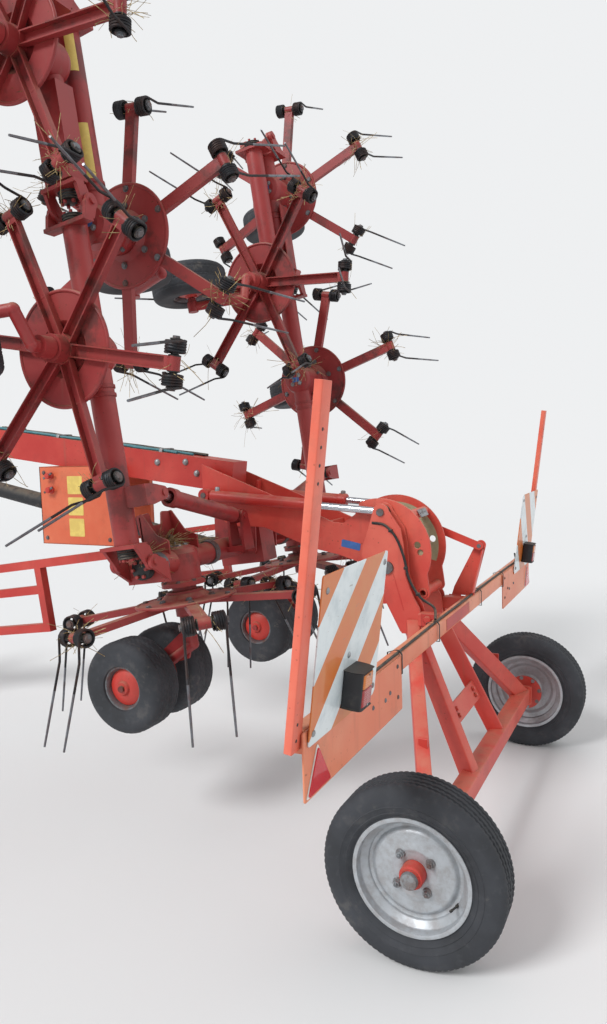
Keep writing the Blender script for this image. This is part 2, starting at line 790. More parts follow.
def upright(y: float) -> Matrix:
    """Frame of a sheet in the X-Z plane; its local Z = 0 face lies at y and it grows towards -Y."""
    return LAYOUT.machine @ shift(y=y) @ Z_TO_MINUS_Y


def facing(side: Side, y: float, depth: float) -> Matrix:
    """Frame of an upright sheet whose face away from the middle lies at y on its side."""
    return upright(y if side is Side.LEFT else depth - y)


def smooth_path(points: Sequence[Sequence[float]], steps: int = 6) -> list[Vector]:
    """Rounds a run of points.

    Args:
        points: The points that the path passes.
        steps: New points for each stretch.

    Returns:
        The points of a smooth curve through them.
    """
    p = [Vector(q) for q in points]
    p = [p[0] * 2 - p[1], *p, p[-1] * 2 - p[-2]]
    path = []
    for i in range(1, len(p) - 2):
        a, b, c, d = p[i - 1:i + 3]
        for k in range(steps):
            t = k / steps
            path.append(0.5 * (2 * b + (c - a) * t + (2 * a - 5 * b + 4 * c - d) * t * t
                               + (3 * b - a - 3 * c + d) * t ** 3))
    path.append(p[-2])
    return path


# Turned profiles of small fixings, as radius and height from the seat up
RIVET = [(0.0070, 0.0), (0.0066, 0.0016), (0.0045, 0.0034), (0.0015, 0.0042)]
BOARD_SCREW = [(0.0085, 0.0), (0.0085, 0.001), (0.006, 0.0032), (0.002, 0.004)]
LENS_SCREW = [(0.0035, 0.0), (0.003, 0.002)]
POST_HOLE = [(0.0042, 0.0), (0.0042, 0.0006), (0.001, 0.0007)]
PIN_CAP = [(0.017, 0.0), (0.0165, 0.004), (0.013, 0.008), (0.004, 0.0095)]
PANEL_BOLT = [(0.011, 0.0), (0.010, 0.003), (0.007, 0.006), (0.002, 0.0075)]
BEAM_BOLT = [(0.016, 0.0), (0.015, 0.004), (0.010, 0.009), (0.003, 0.011)]
NIPPLE = [(0.006, 0.0), (0.006, 0.008), (0.0035, 0.010), (0.0035, 0.016), (0.002, 0.018)]
WHEEL_CONE = [(0.0155, -0.004), (0.0150, 0.002), (0.0125, 0.007), (0.005, 0.007)]
WHEEL_STUD = [(0.006, 0.0), (0.006, 0.021), (0.0045, 0.0225)]
HUB_CAP = [(0.0265, 0.060), (0.0265, 0.072), (0.0240, 0.0765), (0.016, 0.078), (0.015, 0.0765), (0.006, 0.0765)]
LATCH = [(0.019, 0.0), (0.018, 0.006), (0.011, 0.009), (0.010, 0.020), (0.016, 0.024), (0.014, 0.030), (0.004, 0.032)]
VALVE = [(0.0055, 0.0), (0.0050, 0.012), (0.0034, 0.016), (0.0034, 0.040), (0.0042, 0.041), (0.0042, 0.050),
         (0.003, 0.051)]


# Where things stand


@dataclass(frozen=True)
class Layout:
    """The rotor plane and the folded wings, as the solids have them at rest."""

    tilt: float = 8.0
    rotor_x: float = 1.062
    rotor_z: float = 0.965
    pitch: float = 1.04
    lift_y: float = 0.791
    lift_z: float = 0.176
    tip_out: float = 0.2435
    tip_z: float = 0.215

    def rotor_y(self, section: int) -> float:
        """Distance of a rotor axis along the unfolded wing."""
        return self.pitch * (0.5 + section)

    @property
    def machine(self) -> Matrix:
        """The machine's own frame, with X from the transport axle."""
        return shift(ROW_X)

    @property
    def plane(self) -> Matrix:
        """The tilted plane of the rotors."""
        return self.machine @ shift(self.rotor_x, 0, self.rotor_z) @ turn(self.tilt, "Y")

    def section(self, section: int, side: Side) -> Matrix:
        """Frame of a wing section, drawn flat by its pieces.

        Args:
            section: 0 for the centre, 1 inner, 2 middle, 3 tip.
            side: The side of the machine.

        Returns:
            The frame, mirrored on the right side.
        """
        place = self.plane @ side.mirror
        if section > 0:
            place = place @ shift(0, self.lift_y, self.lift_z) @ turn(90, "X") @ shift(0, -self.lift_y, -self.lift_z)
        if section > 2:
            y = self.rotor_y(2) + self.tip_out
            place = place @ shift(0, y, self.tip_z) @ turn(180, "X") @ shift(0, -y, -self.tip_z)
        return place

    def rotor(self, section: int, side: Side) -> Matrix:
        """Frame of a rotor, with Z along its axis."""
        return self.section(section, side) @ shift(0, self.rotor_y(section), 0)


LAYOUT = Layout()


class Place(Enum):
    """The four rotors of a side: section, tine hand, phase on the left and on the right."""

    CENTRE = (0, 1, 12, -18)
    INNER = (1, -1, 18, -12)
    MIDDLE = (2, 1, 12, -18)
    OUTER = (3, -1, 18, -12)

    @property
    def section(self) -> int:
        """The section that carries the rotor."""
        return self.value[0]

    @property
    def hand(self) -> int:
        """Which way the fingers trail."""
        return self.value[1]

    def phase(self, side: Side) -> float:
        """Angle of the first arm in degrees."""
        return self.value[2] if side is Side.LEFT else self.value[3]


@dataclass
class Rotor:
    """Six arms with their double spring tines, bolts and caught stems."""

    side: Side
    where: Place
    coil_r: float = 0.487
    coil_d: float = 0.060
    wire_d: float = 0.0095
    turns: int = 5
    arm_w: float = 0.046
    washer: float = 0.004
    eye_z: float = -0.0438
    root: float = 0.080
    finger: float = 0.300
    splay: float = 18.0
    root_splay: float = 5.0
    trail: float = 6.0
    arms: int = 6
    coil_pitch: float = 1.04
    coil_share: float = 0.94
    turn_steps: int = 16
    bolt_spots: tuple[Flat, ...] = ((0.112, 0.0005), (0.178, -0.0055))

    @property
    def name(self) -> str:
        """Start of the names of the rotor's nodes."""
        return f"{self.side.word}_{self.where.name.lower()}"

    def arm_places(self) -> list[Matrix]:
        """Frame of each arm, with X along it."""
        base = LAYOUT.rotor(self.where.section, self.side)
        return [base @ turn(self.where.phase(self.side) + 360 / self.arms * i, "Z") for i in range(self.arms)]

    def wire(self, m: int) -> list[Vector]:
        """Path of one half of a double tine, from inside the arm to the finger's tip.

        Args:
            m: 1 or -1, the side of the arm.

        Returns:
            Points of the wire's middle.
        """
        r, centre = self.coil_d / 2, Vector((self.coil_r, 0, self.eye_z))
        inner = self.arm_w / 2 + self.washer + self.wire_d / 2
        length = (self.turns - 1) * self.wire_d * self.coil_pitch
        steps = self.turns * self.turn_steps
        path = []
        for i in range(steps + 1):
            t = i / steps
            angle = math.radians(self.root_splay + 360 * self.turns * (1 - t) * self.coil_share)
            path.append(centre + Vector((r * math.cos(angle), m * (inner + length * t), r * math.sin(angle))))
        down, trail = math.radians(self.root_splay), math.radians(self.trail * self.where.hand)
        start = path[-1]
        kink = start + self.root * Vector((math.sin(down), -math.sin(trail), -math.cos(down)))
        out = math.radians(self.splay)
        tip = kink + self.finger * Vector((math.sin(out) * math.cos(trail), -math.sin(trail),
                                           -math.cos(out) * math.cos(trail)))
        path += [start.lerp(kink, t) for t in (0.12, 0.5, 0.86)]
        return path + [kink.lerp(tip, t) for t in (0.01, 0.05, 0.35, 0.75, 1.0)]

    def dress_tines(self) -> bpy.types.Object:
        """Wound spring tines with their bolts, nuts and washers."""
        piece = Piece(f"{self.name}_spring_tines")
        for place in self.arm_places():
            for m in (-1, 1):
                path, r = self.wire(m), self.wire_d / 2
                piece.tube(path[:-2], r, SPRING, place, sides=7)
                piece.tube(path[-3:], [r, r - 0.0002, r - 0.0008], TIP_STEEL, place, sides=7)
                out = self.arm_w / 2 + self.washer + self.turns * self.wire_d
                side = place @ shift(self.coil_r, 0, self.eye_z) @ turn(-90 * m, "X")
                start = self.arm_w / 2 - 0.001
                piece.lathe([(0.0205, start), (0.0205, start + 0.004), (0.0130, start + 0.006), (0.0130, out - 0.004),
                             (0.0195, out - 0.002), (0.0195, out + 0.002), (0.008, out + 0.002)], GREASY, side, 18)
                piece.hexagon(0.022, 0.009, DULL_STEEL, side @ shift(z=out + 0.0015))
        return piece.finish(f"{self.name}_rotor", replaces=[f"{self.name}_tines"])

    def dress_bolts(self) -> bpy.types.Object:
        """Two bolts where each arm meets the disc and a grease cap on the hub."""
        piece = Piece(f"{self.name}_disc_bolts")
        for place in self.arm_places():
            for radius, lift in self.bolt_spots:
                piece.hexagon(0.019, 0.008, DULL_STEEL, place @ shift(radius, 0, lift) @ turn(4, "Y"))
        return piece.finish(f"{self.name}_rotor")

    def build(self) -> None:
        """Dresses the rotor."""
        dress_node(f"{self.name}_rotor", RED_ROTOR)
        self.dress_tines()
        self.dress_bolts()


@dataclass
class SupportWheel:
    """Pneumatic wheel under a rotor; the centre rotors have two on one axle."""

    side: Side
    where: Place
    od: float = 0.370
    width: float = 0.150
    forward: float = 0.234
    drop: float = 0.310
    twin: float = 0.245
    rim_r: float = 0.084
    shoulder: float = 0.034
    blocks: int = 44
    lane: float = 0.0115
    tread_depth: float = 0.0030
    axle_d: float = 0.025

    @property
    def name(self) -> str:
        """Name of the wheel's node."""
        return f"{self.side.word}_{self.where.name.lower()}_wheel"

    def places(self) -> list[Matrix]:
        """Frame of each tyre, with Z along the axle."""
        across = [-self.twin / 2, self.twin / 2] if self.where is Place.CENTRE else [0.0]
        base = LAYOUT.rotor(self.where.section, self.side)
        return [base @ shift(self.forward, y, -self.drop) @ Z_TO_Y for y in across]

    def cut(self, lanes: float, step: int) -> float:
        """Depth of the tread pattern.

        Args:
            lanes: Place across the tread, counted in rows of blocks.
            step: Step round the tyre.

        Returns:
            The depth cut there.
        """
        groove = abs(lanes % 1 - 0.5) > 0.36
        slot = (step + int(lanes) * 2) % 4 == 0
        return self.tread_depth if groove or slot else 0.0

    def tyre(self, piece: Piece, place: Matrix) -> None:
        """Carcass with its small-block tread.

        Args:
            piece: The piece that takes the tyre.
            place: The wheel's frame.
        """
        r, w, c = self.od / 2, self.width / 2, self.shoulder
        outline: list[tuple[float, float, bool]] = [(self.rim_r, -w + 0.016, False),
                                                    (self.rim_r + 0.006, -w + 0.006, False)]
        outline += [(self.rim_r + 0.02, -w + 0.0015, False), (r - c - 0.012, -w + 0.0004, False)]
        outline += [(r - c + c * math.sin(math.radians(a)), -w + c - c * math.cos(math.radians(a)), a > 60)
                    for a in (0, 18, 36, 54, 68, 80)]
        count = 16
        outline += [(r, -w + c + (2 * w - 2 * c) * i / count, True) for i in range(count + 1)]
        outline += [(a, -b, t) for a, b, t in reversed(outline[:10])]
        steps = self.blocks * 4
        rows = [turned_row([radius - (self.cut((height + w) / self.lane, i) if tread else 0.0)
                            for i in range(steps)], height) for radius, height, tread in outline]
        rows += [turned_row([self.rim_r - 0.004] * steps, height) for height in (w - 0.024, 0.024 - w)]
        piece.grid(rows, SUPPORT_TYRE, place, along=True)

    def rim(self, piece: Piece, place: Matrix) -> None:
        """Galvanised flange, dished red disc and hub.

        Args:
            piece: The piece that takes the rim.
            place: The wheel's frame.
        """
        w, r = self.width / 2, self.rim_r
        for half in (place, place @ Z_DOWN):
            piece.lathe([(r - 0.010, 0.0), (r - 0.002, 0.0), (r - 0.002, w - 0.022), (r + 0.0035, w - 0.0145),
                         (r + 0.0035, w - 0.0125), (r - 0.003, w - 0.0135), (r - 0.0095, w - 0.024),
                         (r - 0.0095, w - 0.036)], DULL_STEEL, half, 56)
            piece.lathe([(self.axle_d / 2 + 0.0001, 0.0), (r - 0.0092, 0.0), (r - 0.0092, w - 0.040),
                         (r - 0.012, w - 0.0335), (r - 0.020, w - 0.030), (0.046, w - 0.0225), (0.030, w - 0.0195),
                         (0.0275, w - 0.014), (0.024, w - 0.0098), (self.axle_d / 2 + 0.0001, w - 0.0098)], RED_HUB,
                        half, 48)

    def build(self) -> None:
        """Makes the wheel in place of its solid."""
        piece = Piece(f"{self.name}_tyre_and_rim")
        for place in self.places():
            self.tyre(piece, place)
            self.rim(piece, place)
        piece.finish(self.name, replaces=[self.name])


@dataclass
class RoadWheel:
    """Transport wheel with its road tyre."""

    side: Side
    od: float = 0.562
    width: float = 0.145
    half_track: float = 0.897
    rim_d: float = 0.366
    blocks: int = 92
    shoulder: float = 0.030
    crown: float = 0.045
    bead: float = 0.0522
    inset: float = 0.016
    hub_d: float = 0.075
    grooves: Flat = (0.0105, 0.0305)
    groove_depth: float = 0.0062
    slot_depth: float = 0.0022
    sipe_depth: float = 0.0020

    @property
    def place(self) -> Matrix:
        """The wheel's frame, with Z out along the axle."""
        return LAYOUT.machine @ self.side.mirror @ shift(0, self.half_track, self.od / 2) @ Z_TO_Y

    def cut(self, height: float, step: int) -> float:
        """Depth of the tread pattern.

        Args:
            height: Place across the tread.
            step: Step round the tyre.

        Returns:
            The depth cut there.
        """
        lane = abs(height)
        if any(abs(lane - groove) < 0.0034 for groove in self.grooves):
            return self.groove_depth
        if lane > 0.034 and (step + (0 if height > 0 else 1)) % 3 == 0:
            return self.slot_depth
        if 0.014 < lane < 0.027 and (step + 1) % 3 == 0:
            return self.slot_depth
        return self.sipe_depth if lane < 0.007 and step % 6 == 0 else 0.0

    def tyre(self) -> bpy.types.Object:
        """Tyre with grooves, slots and plain side rings."""
        piece = Piece(f"{self.side.word}_road_tyre")
        r, w, c, s = self.od / 2, self.width / 2, self.crown, self.shoulder
        rim = self.rim_d / 2
        curve = [(r - c + c * math.sin(math.radians(a)), -w + s - s * math.cos(math.radians(a)))
                 for a in (0, 15, 30, 42, 52, 62, 71, 80)]
        flat = -w + s - s * math.cos(math.radians(80))
        side = [(rim - 0.008, -self.bead), (rim + 0.004, -self.bead), (rim + 0.010, -self.bead - 0.006),
                (rim + 0.016, -w + 0.0085), (rim + 0.018, -w + 0.0075), (rim + 0.020, -w + 0.0088),
                (rim + 0.036, -w + 0.0018), (rim + 0.038, -w + 0.0006), (rim + 0.040, -w + 0.0020)]
        across = [flat + (-2 * flat) * i / 30 for i in range(1, 30)]
        outline = side + curve + [(r, h) for h in across]
        outline += [(a, -b) for a, b in reversed(side + curve)]
        steps = self.blocks * 3
        rows = [turned_row([radius - (self.cut(height, i) if radius > r - 0.010 else 0.0) for i in range(steps)],
                           height) for radius, height in outline]
        piece.grid(rows, TYRE, self.place, along=True)
        return piece.finish(f"{self.side.word}_wheel", replaces=[f"{self.side.word}_tyre"])

    def rim(self) -> bpy.types.Object:
        """Rolled rim with its drop centre and dished disc."""
        piece = Piece(f"{self.side.word}_rolled_rim")
        r, w, lip, wall = self.rim_d / 2, self.width / 2 - self.inset, 0.004, 0.005
        seat = r - 0.0083
        well = seat - 0.022
        outline = [(r, -w), (r, lip - w), (seat, lip - w), (seat, -0.032), (well, -0.020), (well, 0.008),
                   (seat, 0.022), (seat, w - lip), (r, w - lip), (r, w), (seat - wall, w),
                   (seat - wall - 0.001, 0.030), (well - wall, 0.013), (well - wall, 0.006), (0.136, 0.004),
                   (0.128, 0.014), (0.121, 0.0185), (0.092, 0.0185), (0.072, 0.023), (0.062, 0.020),
                   (self.hub_d / 2, 0.018), (self.hub_d / 2, 0.009), (0.058, 0.009), (0.072, 0.015), (0.116, 0.011),
                   (0.128, 0.0), (well - wall, -0.004), (well - wall, -0.022), (seat - wall, -0.035),
                   (seat - wall, -w)]
        piece.lathe(eased(outline, 0.003, 2), SILVER, self.place, 96, closed=True)
        return piece.finish(f"{self.side.word}_wheel", replaces=[f"{self.side.word}_rim"])

    def fixings(self) -> bpy.types.Object:
        """Hub with its flange and caps, wheel bolts on cone washers, and the valve."""
        piece = Piece(f"{self.side.word}_hub_and_fixings")
        r = self.hub_d / 2
        piece.lathe([(0.0205, -0.064), (0.0825, -0.064), (0.0825, -0.056), (0.060, -0.054), (0.060, 0.006),
                     (r, 0.009), (r, 0.048), (r - 0.003, 0.054), (0.030, 0.056), (0.0295, 0.062), (0.0205, 0.062)],
                    RED_HUB, self.place, 48, closed=True)
        piece.lathe(HUB_CAP, ZINC, self.place, 36)
        for i in range(4):
            place = self.place @ turn(38 + 90 * i, "Z") @ shift(0.066, 0, 0.0205)
            piece.lathe(WHEEL_CONE, ZINC, place, 20)
            piece.hexagon(0.019, 0.011, ZINC, place @ shift(z=0.006))
            piece.lathe(WHEEL_STUD, DULL_STEEL, place, 14)
        for i in range(8):
            place = self.place @ turn(11 + 45 * i, "Z") @ shift(0.073, 0, -0.064) @ Z_DOWN
            piece.hexagon(0.013, 0.006, ZINC, place)
        valve = self.place @ turn(150, "Z") @ shift(0.150, 0, 0.008) @ turn(-14, "Y")
        piece.lathe(VALVE,
                    HOSE_BLACK, valve, 12)
        return piece.finish(f"{self.side.word}_wheel")

    def build(self) -> None:
        """Makes tyre, rim and hub."""
        self.rim()
        self.tyre()
        self.fixings()


@dataclass
class RearBoards:
    """Rear bar with its end plates, striped boards, lamps, reflectors, guard posts and cable."""

    bar_x: float = 0.090
    bar_depth: float = 0.040
    low: float = 0.830
    high: float = 0.890
    lean: float = 7.2
    plate_y: float = 0.750
    plate_low: float = 0.715
    sheet: float = 0.005
    board_y: float = 1.213
    board_w: float = 0.424
    board_h: float = 0.416
    board_low: float = 0.845
    board_t: float = 0.004
    post_y: float = 1.457
    post: Flat = (0.022, 0.050)
    post_low: float = 0.845
    post_len: float = 0.856
    post_holes: tuple[float, ...] = (0.62, 0.66, 0.70, 0.74, 0.02, 0.06)
    rivets: tuple[Flat, ...] = ((0.79, 0.862), (0.79, 0.765), (0.86, 0.80), (0.90, 0.79), (1.0, 0.80), (1.38, 0.862))
    clips: tuple[float, ...] = (0.75, 0.34, -0.30, -0.75)
    lamp: Point = (0.083, 0.100, 0.052)
    reflector: tuple[Flat, ...] = ((1.300, 0.722), (1.440, 0.722), (1.372, 0.838))

    def leaning(self, side: Side) -> Matrix:
        """Frame of a board: local X rearwards out of it, Y outwards from the middle of the machine, Z up."""
        foot = shift(self.bar_x - self.sheet, 0, self.board_low)
        return LAYOUT.machine @ side.mirror @ foot @ turn(-self.lean, "Y")

    def bar(self) -> None:
        """Square bar with the plates at its ends, bolts and lamp cable."""
        piece = Piece("rear_bar_with_plates")
        place, end = LAYOUT.machine, self.post_y - self.post[1] / 2
        x = self.bar_x + self.bar_depth / 2
        piece.slab(rectangle(self.bar_x, self.low, self.bar_x + self.bar_depth, self.high, 0.007), 2 * end, PEACH,
                   upright(end), 0.001)
        for side in Side:
            rear_face = place @ side.mirror @ shift(self.bar_x - self.sheet)
            outline = rectangle(self.plate_y, self.plate_low, end + 0.012, self.high - 0.004, 0.006)
            piece.plate([outline], self.sheet, PEACH, rear_face @ ACROSS)
            for y, z in self.rivets:
                piece.lathe(RIVET, DULL_STEEL, rear_face @ shift(0, y, z) @ Z_TO_MINUS_X, 14)
        piece.box((self.bar_x - 0.0008, -0.115, self.low + 0.008), (self.bar_x + 0.002, 0.225, self.high - 0.008),
                  RED, place, 0.0003)
        self.cable(piece, x)
        for y in self.clips:
            self.clip(piece, x, y)
        piece.finish("chassis", replaces=["rear_bar"])

    def cable(self, piece: Piece, x: float) -> None:
        """Lamp cable along the bar's top, between the two lamps."""
        over = ((-0.012, 1.12, 0.006), (-0.014, 0.75, 0.0052), (-0.008, 0.34, 0.005), (-0.010, 0.0, 0.006),
                (-0.008, -0.3, 0.005), (-0.012, -0.9, 0.0055), (-0.012, -1.12, 0.006))
        path = [(x, 1.17, 0.93), *((x + dx, y, self.high + dz) for dx, y, dz in over), (x, -1.17, 0.93)]
        piece.tube(smooth_path(path, 5), 0.0045, HOSE_BLACK, LAYOUT.machine, 8)

    def clip(self, piece: Piece, x: float, y: float) -> None:
        """Band round bar and cable.

        Args:
            piece: The piece that takes the band.
            x: Middle of the bar.
            y: Where the band lies.
        """
        half, top, thick = 0.0035, self.high + 0.011, 0.0016
        rear, front = self.bar_x - 0.0062, self.bar_x + self.bar_depth + 0.001
        inner = [(rear, self.low - 0.001), (front, self.low - 0.001), (front, self.high + 0.001), (x - 0.004, top),
                 (x - 0.018, top), (rear, self.high - 0.002)]
        middle = (self.low + self.high) / 2
        outer = [(a + (thick if a > x else -thick), b + (thick if b > middle else -thick)) for a, b in inner]
        rows = [[(a, y + dy, b) for a, b in band]
                for band, dy in ((inner, -half), (outer, -half), (outer, half), (inner, half))]
        piece.grid(rows, GREASY, LAYOUT.machine, along=True)

    def boards(self) -> None:
        """Striped sheets with their screws and raised rims."""
        piece = Piece("striped_sheets")
        for side in Side:
            place = self.leaning(side)
            low, high = self.board_y - self.board_w / 2, self.board_y + self.board_w / 2
            outline = rectangle(low, 0.0, high, self.board_h, 0.008)
            sheet = place @ shift(-self.board_t) @ ACROSS
            piece.plate([outline], self.board_t, BOARD, sheet, 0.0008)
            screws = ((high - 0.03, self.board_h - 0.04), (high - 0.02, 0.03), (low + 0.02, 0.03),
                      (self.board_y + 0.01, 0.175), (low + 0.02, self.board_h - 0.03))
            for y, z in screws:
                piece.lathe(BOARD_SCREW, ZINC, place @ shift(-self.board_t, y, z) @ Z_TO_MINUS_X, 16)
        piece.finish("chassis", replaces=["striped_boards"])

    def lamps(self) -> None:
        """Lamp cases with amber over red lenses, and three-cornered reflectors below the boards."""
        piece = Piece("rear_lamp_cases")
        for side in Side:
            place = self.leaning(side) @ shift(-self.board_t, self.lamp_y, 0.042)
            w, h, d = self.lamp
            outline = eased([(0.0, 0.0), (0.0, w), (-0.030, w), (-d, w - 0.006), (-d, 0.006), (-0.030, 0.0)], 0.006)
            piece.slab(outline[::-1], h, LAMP_CASE, place, 0.004)
            for finish, z0, z1 in ((LENS_RED, 0.007, 0.053), (LENS_AMBER, 0.055, 0.093)):
                lens = eased([(-d + 0.002, 0.010), (-d - 0.004, 0.014), (-d - 0.0045, w - 0.014),
                              (-d + 0.002, w - 0.010)], 0.004)
                piece.slab(lens[::-1], z1 - z0, finish, place @ shift(z=z0), 0.002)
            for z in (0.01, 0.09):
                piece.lathe(LENS_SCREW, ZINC, place @ shift(-d - 0.004, w / 2, z) @ Z_TO_MINUS_X, 10)
        piece.finish("chassis", replaces=["rear_lamps"])
        signs = Piece("corner_reflectors")
        for side in Side:
            place = LAYOUT.machine @ side.mirror @ shift(self.bar_x - self.sheet) @ ACROSS
            signs.plate([eased(self.reflector, 0.008)], 0.0025, BOARD_WHITE, place @ shift(z=-0.0026), 0.0005)
            middle = Vector((1.371, 0.757))
            glass = [tuple(middle + (Vector(q) - middle) * 0.9) for q in self.reflector]
            signs.plate([eased(glass, 0.008)], 0.004, REFLECTOR, place @ shift(z=-0.0062), 0.001)
        signs.finish("chassis")

    def posts(self) -> None:
        """Slim leaning posts with a row of holes near the top."""
        piece = Piece("slim_guard_posts")
        t, w = self.post
        for side in Side:
            foot = shift(self.bar_x + 0.006, self.post_y, self.bar_low_z())
            place = LAYOUT.machine @ side.mirror @ foot @ turn(-self.lean, "Y")
            drop = self.bar_low_z() - self.post_low
            piece.slab(rectangle(0.0, -w / 2, t, w / 2, 0.004), self.post_len, POST_RED, place @ shift(z=-drop),
                       0.001)
            for z in self.post_holes:
                piece.lathe(POST_HOLE, GREASY, place @ shift(0.0, 0.006, z) @ Z_TO_MINUS_X, 12)
        piece.finish("chassis", replaces=["guard_posts"])

    def bar_low_z(self) -> float:
        """Height at which a post touches the bar's lower edge."""
        return self.low + 0.025

    @property
    def lamp_y(self) -> float:
        """Inner side of a lamp."""
        return self.board_y - 0.046

    def build(self) -> None:
        """Makes all that hangs on the rear bar."""
        self.bar()
        self.boards()
        self.lamps()
        self.posts()


@dataclass
class RearFrame:
    """Side plates with their round ends, the swinging axle frame and its two cylinders."""

    pivot: Flat = (0.340, 1.060)
    pivot_d: float = 0.050
    round_end: tuple[float, float, float] = (0.397, 1.113, 0.215)
    stop: Flat = (0.217, 0.953)
    inspection: Point = (0.238, 1.143, 0.028)
    strut_y: float = 0.228
    cross_y: float = 0.190
    stays: tuple[Point, ...] = ((1.050, 1.300, 1.395), (1.195, 1.320, 1.450))
    gusset: tuple[Flat, ...] = ((0.980, 1.090), (1.190, 1.090), (1.190, 1.310), (0.980, 1.240))
    cheek_y: float = 0.103
    cheek_t: float = 0.010
    lever_y: float = 0.143
    lever_t: float = 0.010
    lever_gap: float = 0.040
    ram_pin: Flat = (0.365, 1.278)
    ram_base: Flat = (1.200, 1.341)
    ram_pin_d: float = 0.026
    barrel_d: float = 0.050
    barrel_len: float = 0.560
    rod_d: float = 0.030
    axle: float = 0.070
    axle_z: float = 0.281
    half_track: float = 0.897
    stub_d: float = 0.040

    def cheek_outline(self) -> list[Flat]:
        """Sloping plate with a round end and a foot for the stop tube."""
        x, z, r = self.round_end
        sx, sz = self.stop
        return [(1.240, 1.300), (1.240, 1.477), (1.215, 1.467), (0.671, 1.256), (0.600, 1.228), (0.555, 1.224),
                (0.500, 1.262), *arc(x, z, r, 68, 203, 30), *arc(sx, sz, 0.028, 165, 285, 8),
                *arc(x, z, r, 240, 283, 10), (0.452, 0.985), (0.490, 1.066), (0.575, 1.092), (0.700, 1.116),
                (0.930, 1.200), (1.100, 1.200)]

    def cheeks(self) -> None:
        """Side plates, stop tube, cross tube with its perforated strip, and pins."""
        piece = Piece("rear_side_plates")
        place = LAYOUT.machine
        inner, outer = self.cheek_y - self.cheek_t / 2, self.cheek_y + self.cheek_t / 2
        for side in Side:
            holes = ((*self.pivot, self.pivot_d + 0.001), self.inspection, (0.226, 1.114, 0.024),
                     (*self.stop, 0.025), (0.290, 0.955, 0.018))
            piece.plate([self.cheek_outline(), *(circle(*hole) for hole in holes)], self.cheek_t, RED_CHASSIS,
                        facing(side, outer, self.cheek_t))
            half = place @ side.mirror
            piece.pin(*self.ram_base, self.ram_pin_d, self.cheek_y, self.lever_y + 0.026, DULL_STEEL, half)
            piece.pin(*self.ram_base, self.ram_pin_d + 0.020, outer - 0.001, outer + 0.012, RED, half)
            piece.pin(*self.pivot, self.pivot_d + 0.034, inner - 0.030, inner + 0.001, RED, half,
                      self.pivot_d + 0.001)
            for x, low, high in self.stays:
                piece.box((x, 0.060, low), (x + 0.012, inner + 0.001, high), RED, half, 0.001)
            piece.plate([self.gusset], self.cheek_t, RED_WING, facing(side, inner - 0.0001, self.cheek_t))
        piece.pin(*self.stop, 0.038, -outer - 0.004, outer + 0.004, RED_CHASSIS, place, 0.024)
        piece.pin(0.272, 1.258, 0.042, -inner - 0.001, inner + 0.001, RED_CHASSIS, place)
        piece.box((0.640, -inner - 0.001, 1.130), (0.652, inner + 0.001, 1.225), RED_CHASSIS, place, 0.001)
        strip = rectangle(-0.05, -0.017, 0.05, 0.017, 0.006)
        holes = [circle(-0.036 + 0.018 * i, 0.0, 0.009, 12) for i in range(5)]
        piece.plate([strip, *holes], 0.004, ZINC, place @ shift(0.248, 0, 1.262) @ turn(-62, "Y") @ turn(90, "Z"))
        x, z, r = self.round_end
        patch = [*arc(x, z, r - 0.030, 80, 200, 30), (0.262, 1.060), (0.300, 1.000), (0.395, 0.975), (0.430, 1.120)]
        bare = [patch, circle(*self.pivot, self.pivot_d + 0.034), circle(*self.inspection)]
        for side in Side:
            piece.plate(bare, 0.0006, FADED, facing(side, inner, 0.0006), 0.0002)
        self.blank_plate(piece)
        piece.finish("frame", replaces=["rear_cheeks"])

    def blank_plate(self, piece: Piece) -> None:
        """Small blue plate without marks on the left side plate."""
        outer = self.cheek_y + self.cheek_t / 2
        outline = eased([(0.482, 1.112), (0.565, 1.128), (0.560, 1.158), (0.477, 1.142)], 0.004)
        piece.plate([outline], 0.0016, BLUE_SPOT, upright(outer + 0.0015), 0.0004)

    def lever_outline(self) -> list[Flat]:
        """Lever plate from the cylinder's pin down to the struts."""
        x, z = self.ram_pin
        return [*arc(x - 0.001, z + 0.002, 0.032, 20, 170, 14), (0.284, 1.215), (0.273, 1.150), (0.268, 1.033),
                (0.251, 0.983), (0.233, 0.942), (0.212, 0.905), (0.205, 0.870), (0.206, 0.800), (0.286, 0.800),
                (0.345, 0.921), (0.402, 1.010), (0.440, 1.070), (0.448, 1.105), (0.445, 1.140), (0.428, 1.185)]

    @property
    def lever_faces(self) -> Flat:
        """Faces of a side's double lever that look to the middle and away from it."""
        half = self.lever_gap / 2 + self.lever_t
        return self.lever_y - half, self.lever_y + half

    def swing(self) -> None:
        """Double levers, struts, axle tube and stub axles."""
        piece = Piece("swinging_axle_frame")
        for side in Side:
            self.levers(piece, side)
            self.struts(piece, side)
        self.axle_tube(piece)
        self.tie(piece)
        self.lever_hose(piece)
        piece.finish("chassis", replaces=["chassis_frame"])

